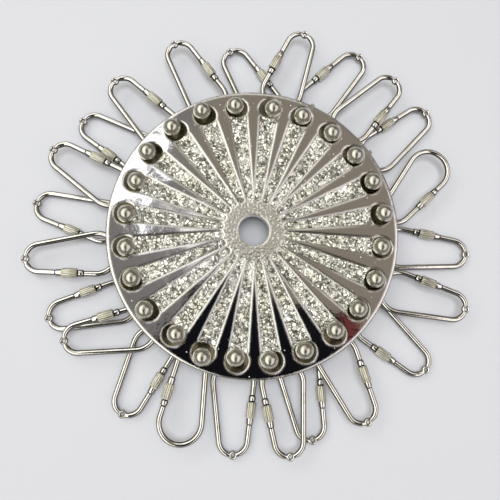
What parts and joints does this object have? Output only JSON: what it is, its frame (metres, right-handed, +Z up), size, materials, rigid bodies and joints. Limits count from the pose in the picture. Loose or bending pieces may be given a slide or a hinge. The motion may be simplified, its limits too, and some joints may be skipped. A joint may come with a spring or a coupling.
{
  "type": "order wheel",
  "caption": "Flat round order wheel: a grooved metal plate with ball-headed hangers round its rim, each holding a wire loop closed by a screw nut.",
  "frame": {"origin": "centre of the hub bore at the plate's underside", "axes": "+Z up along the hub bore, out of the grooved face; +Y towards the top of the picture"},
  "size_m": [0.1573, 0.1528, 0.0155],
  "materials": {
    "plate_chrome": "polished, with textured groove floors",
    "ball_chrome": "mirror polish",
    "hanger_steel": "satin",
    "loop_wire": "bright nickel plate",
    "nut_nickel": "satin, finely ribbed"
  },
  "bodies": {
    "wheel": {"wheel_plate": "plate_chrome", "short_hangers": "hanger_steel", "long_hangers": "hanger_steel", "ball_heads": "ball_chrome"},
    "loop_01": {"wire_loop_01": "loop_wire"},
    "nut_01": {"screw_nut_01": "nut_nickel"},
    "loop_02": {"wire_loop_02": "loop_wire"},
    "nut_02": {"screw_nut_02": "nut_nickel"},
    "loop_03": {"wire_loop_03": "loop_wire"},
    "nut_03": {"screw_nut_03": "nut_nickel"},
    "loop_04": {"wire_loop_04": "loop_wire"},
    "nut_04": {"screw_nut_04": "nut_nickel"},
    "loop_05": {"wire_loop_05": "loop_wire"},
    "nut_05": {"screw_nut_05": "nut_nickel"},
    "loop_06": {"wire_loop_06": "loop_wire"},
    "nut_06": {"screw_nut_06": "nut_nickel"},
    "loop_08": {"wire_loop_08": "loop_wire"},
    "nut_08": {"screw_nut_08": "nut_nickel"},
    "loop_09": {"wire_loop_09": "loop_wire"},
    "nut_09": {"screw_nut_09": "nut_nickel"},
    "loop_10": {"wire_loop_10": "loop_wire"},
    "nut_10": {"screw_nut_10": "nut_nickel"},
    "loop_11": {"wire_loop_11": "loop_wire"},
    "nut_11": {"screw_nut_11": "nut_nickel"},
    "loop_12": {"wire_loop_12": "loop_wire"},
    "nut_12": {"screw_nut_12": "nut_nickel"},
    "loop_13": {"wire_loop_13": "loop_wire"},
    "nut_13": {"screw_nut_13": "nut_nickel"},
    "loop_14": {"wire_loop_14": "loop_wire"},
    "nut_14": {"screw_nut_14": "nut_nickel"},
    "loop_15": {"wire_loop_15": "loop_wire"},
    "nut_15": {"screw_nut_15": "nut_nickel"},
    "loop_16": {"wire_loop_16": "loop_wire"},
    "nut_16": {"screw_nut_16": "nut_nickel"},
    "loop_17": {"wire_loop_17": "loop_wire"},
    "nut_17": {"screw_nut_17": "nut_nickel"},
    "loop_18": {"wire_loop_18": "loop_wire"},
    "nut_18": {"screw_nut_18": "nut_nickel"},
    "loop_19": {"wire_loop_19": "loop_wire"},
    "nut_19": {"screw_nut_19": "nut_nickel"},
    "loop_20": {"wire_loop_20": "loop_wire"},
    "nut_20": {"screw_nut_20": "nut_nickel"},
    "loop_21": {"wire_loop_21": "loop_wire"},
    "nut_21": {"screw_nut_21": "nut_nickel"},
    "loop_22": {"wire_loop_22": "loop_wire"},
    "nut_22": {"screw_nut_22": "nut_nickel"},
    "loop_23": {"wire_loop_23": "loop_wire"},
    "nut_23": {"screw_nut_23": "nut_nickel"},
    "loop_24": {"wire_loop_24": "loop_wire"},
    "nut_24": {"screw_nut_24": "nut_nickel"}
  },
  "joints": [
    {"name": "loop_swing_01", "type": "hinge", "parent": "wheel", "child": "loop_01", "pos_m": [-0.01788, 0.04254, -0.00215], "axis": [0, 0, 1], "range_deg": [-16, 14]},
    {"name": "loop_swing_02", "type": "hinge", "parent": "wheel", "child": "loop_02", "pos_m": [-0.00234, 0.04581, -0.00585], "axis": [0, 0, 1], "range_deg": [-16, 16]},
    {"name": "loop_swing_03", "type": "hinge", "parent": "wheel", "child": "loop_03", "pos_m": [0.00839, 0.04628, -0.00215], "axis": [0, 0, 1], "range_deg": [-16, 16]},
    {"name": "loop_swing_04", "type": "hinge", "parent": "wheel", "child": "loop_04", "pos_m": [0.02071, 0.04513, -0.00585], "axis": [0, 0, 1], "range_deg": [-16, 16]},
    {"name": "loop_swing_05", "type": "hinge", "parent": "wheel", "child": "loop_05", "pos_m": [0.03049, 0.03658, -0.00215], "axis": [0, 0, 1], "range_deg": [-16, 16]},
    {"name": "loop_swing_06", "type": "hinge", "parent": "wheel", "child": "loop_06", "pos_m": [0.04056, 0.02855, -0.00585], "axis": [0, 0, 1], "range_deg": [-16, 16]},
    {"name": "loop_swing_08", "type": "hinge", "parent": "wheel", "child": "loop_08", "pos_m": [0.04657, 0.00849, -0.00215], "axis": [0, 0, 1], "range_deg": [-12, 12]},
    {"name": "loop_swing_09", "type": "hinge", "parent": "wheel", "child": "loop_09", "pos_m": [0.04631, -0.00543, -0.00585], "axis": [0, 0, 1], "range_deg": [-16, 16]},
    {"name": "loop_swing_10", "type": "hinge", "parent": "wheel", "child": "loop_10", "pos_m": [0.04442, -0.0182, -0.00215], "axis": [0, 0, 1], "range_deg": [-16, 16]},
    {"name": "loop_swing_11", "type": "hinge", "parent": "wheel", "child": "loop_11", "pos_m": [0.03652, -0.0278, -0.00585], "axis": [0, 0, 1], "range_deg": [-16, 16]},
    {"name": "loop_swing_12", "type": "hinge", "parent": "wheel", "child": "loop_12", "pos_m": [0.02857, -0.03556, -0.00215], "axis": [0, 0, 1], "range_deg": [-16, 16]},
    {"name": "loop_swing_13", "type": "hinge", "parent": "wheel", "child": "loop_13", "pos_m": [0.01619, -0.04018, -0.00585], "axis": [0, 0, 1], "range_deg": [-15, 16]},
    {"name": "loop_swing_14", "type": "hinge", "parent": "wheel", "child": "loop_14", "pos_m": [0.00455, -0.04648, -0.00215], "axis": [0, 0, 1], "range_deg": [-16, 16]},
    {"name": "loop_swing_15", "type": "hinge", "parent": "wheel", "child": "loop_15", "pos_m": [-0.00641, -0.04412, -0.00585], "axis": [0, 0, 1], "range_deg": [-16, 16]},
    {"name": "loop_swing_16", "type": "hinge", "parent": "wheel", "child": "loop_16", "pos_m": [-0.01683, -0.04219, -0.00215], "axis": [0, 0, 1], "range_deg": [-12, 12]},
    {"name": "loop_swing_17", "type": "hinge", "parent": "wheel", "child": "loop_17", "pos_m": [-0.02794, -0.03612, -0.00585], "axis": [0, 0, 1], "range_deg": [-15, 16]},
    {"name": "loop_swing_18", "type": "hinge", "parent": "wheel", "child": "loop_18", "pos_m": [-0.03616, -0.02699, -0.00215], "axis": [0, 0, 1], "range_deg": [-16, 15]},
    {"name": "loop_swing_19", "type": "hinge", "parent": "wheel", "child": "loop_19", "pos_m": [-0.04198, -0.01843, -0.00585], "axis": [0, 0, 1], "range_deg": [-16, 16]},
    {"name": "loop_swing_20", "type": "hinge", "parent": "wheel", "child": "loop_20", "pos_m": [-0.04673, -0.00682, -0.00215], "axis": [0, 0, 1], "range_deg": [-16, 16]},
    {"name": "loop_swing_21", "type": "hinge", "parent": "wheel", "child": "loop_21", "pos_m": [-0.04591, 0.00477, -0.00585], "axis": [0, 0, 1], "range_deg": [-16, 16]},
    {"name": "loop_swing_22", "type": "hinge", "parent": "wheel", "child": "loop_22", "pos_m": [-0.04282, 0.01624, -0.00215], "axis": [0, 0, 1], "range_deg": [-16, 16]},
    {"name": "loop_swing_23", "type": "hinge", "parent": "wheel", "child": "loop_23", "pos_m": [-0.03505, 0.02508, -0.00585], "axis": [0, 0, 1], "range_deg": [-16, 16]},
    {"name": "loop_swing_24", "type": "hinge", "parent": "wheel", "child": "loop_24", "pos_m": [-0.02687, 0.03482, -0.00215], "axis": [0, 0, 1], "range_deg": [-13, 16]},
    {"name": "nut_slide_01", "type": "slide", "parent": "loop_01", "child": "nut_01", "axis": [-0.6039, 0.7971, 0], "range_m": [0, 0.0029]},
    {"name": "nut_slide_02", "type": "slide", "parent": "loop_02", "child": "nut_02", "axis": [-0.6039, 0.7971, 0], "range_m": [0, 0.0029]},
    {"name": "nut_slide_03", "type": "slide", "parent": "loop_03", "child": "nut_03", "axis": [0.4718, 0.8817, 0], "range_m": [0, 0.0029]},
    {"name": "nut_slide_04", "type": "slide", "parent": "loop_04", "child": "nut_04", "axis": [0.7564, 0.6541, 0], "range_m": [0, 0.0029]},
    {"name": "nut_slide_05", "type": "slide", "parent": "loop_05", "child": "nut_05", "axis": [0.6273, 0.7788, 0], "range_m": [0, 0.0029]},
    {"name": "nut_slide_06", "type": "slide", "parent": "loop_06", "child": "nut_06", "axis": [0.8401, 0.5425, 0], "range_m": [0, 0.0029]},
    {"name": "nut_slide_08", "type": "slide", "parent": "loop_08", "child": "nut_08", "axis": [-0.7331, -0.6801, 0], "range_m": [0, 0.0029]},
    {"name": "nut_slide_09", "type": "slide", "parent": "loop_09", "child": "nut_09", "axis": [0.9776, -0.2105, 0], "range_m": [0, 0.0029]},
    {"name": "nut_slide_10", "type": "slide", "parent": "loop_10", "child": "nut_10", "axis": [0.9326, -0.3608, 0], "range_m": [0, 0.0029]},
    {"name": "nut_slide_11", "type": "slide", "parent": "loop_11", "child": "nut_11", "axis": [0.8105, -0.5857, 0], "range_m": [0, 0.0029]},
    {"name": "nut_slide_12", "type": "slide", "parent": "loop_12", "child": "nut_12", "axis": [0.3065, -0.9519, 0], "range_m": [0, 0.0029]},
    {"name": "nut_slide_13", "type": "slide", "parent": "loop_13", "child": "nut_13", "axis": [0.0672, -0.9977, 0], "range_m": [0, 0.0029]},
    {"name": "nut_slide_14", "type": "slide", "parent": "loop_14", "child": "nut_14", "axis": [0.2105, -0.9776, 0], "range_m": [0, 0.0029]},
    {"name": "nut_slide_15", "type": "slide", "parent": "loop_15", "child": "nut_15", "axis": [-0.1245, -0.9922, 0], "range_m": [0, 0.0029]},
    {"name": "nut_slide_16", "type": "slide", "parent": "loop_16", "child": "nut_16", "axis": [0.2949, 0.9555, 0], "range_m": [0, 0.0029]},
    {"name": "nut_slide_17", "type": "slide", "parent": "loop_17", "child": "nut_17", "axis": [-0.5173, -0.8558, 0], "range_m": [0, 0.0029]},
    {"name": "nut_slide_18", "type": "slide", "parent": "loop_18", "child": "nut_18", "axis": [-0.9605, -0.2781, 0], "range_m": [0, 0.0029]},
    {"name": "nut_slide_19", "type": "slide", "parent": "loop_19", "child": "nut_19", "axis": [-0.9388, -0.3445, 0], "range_m": [0, 0.0029]},
    {"name": "nut_slide_20", "type": "slide", "parent": "loop_20", "child": "nut_20", "axis": [-0.9993, 0.0375, 0], "range_m": [0, 0.0029]},
    {"name": "nut_slide_21", "type": "slide", "parent": "loop_21", "child": "nut_21", "axis": [-0.9262, 0.377, 0], "range_m": [0, 0.0029]},
    {"name": "nut_slide_22", "type": "slide", "parent": "loop_22", "child": "nut_22", "axis": [-0.8999, 0.436, 0], "range_m": [0, 0.0029]},
    {"name": "nut_slide_23", "type": "slide", "parent": "loop_23", "child": "nut_23", "axis": [-0.8075, 0.5899, 0], "range_m": [0, 0.0029]},
    {"name": "nut_slide_24", "type": "slide", "parent": "loop_24", "child": "nut_24", "axis": [-0.7677, 0.6408, 0], "range_m": [0, 0.0029]}
  ]
}
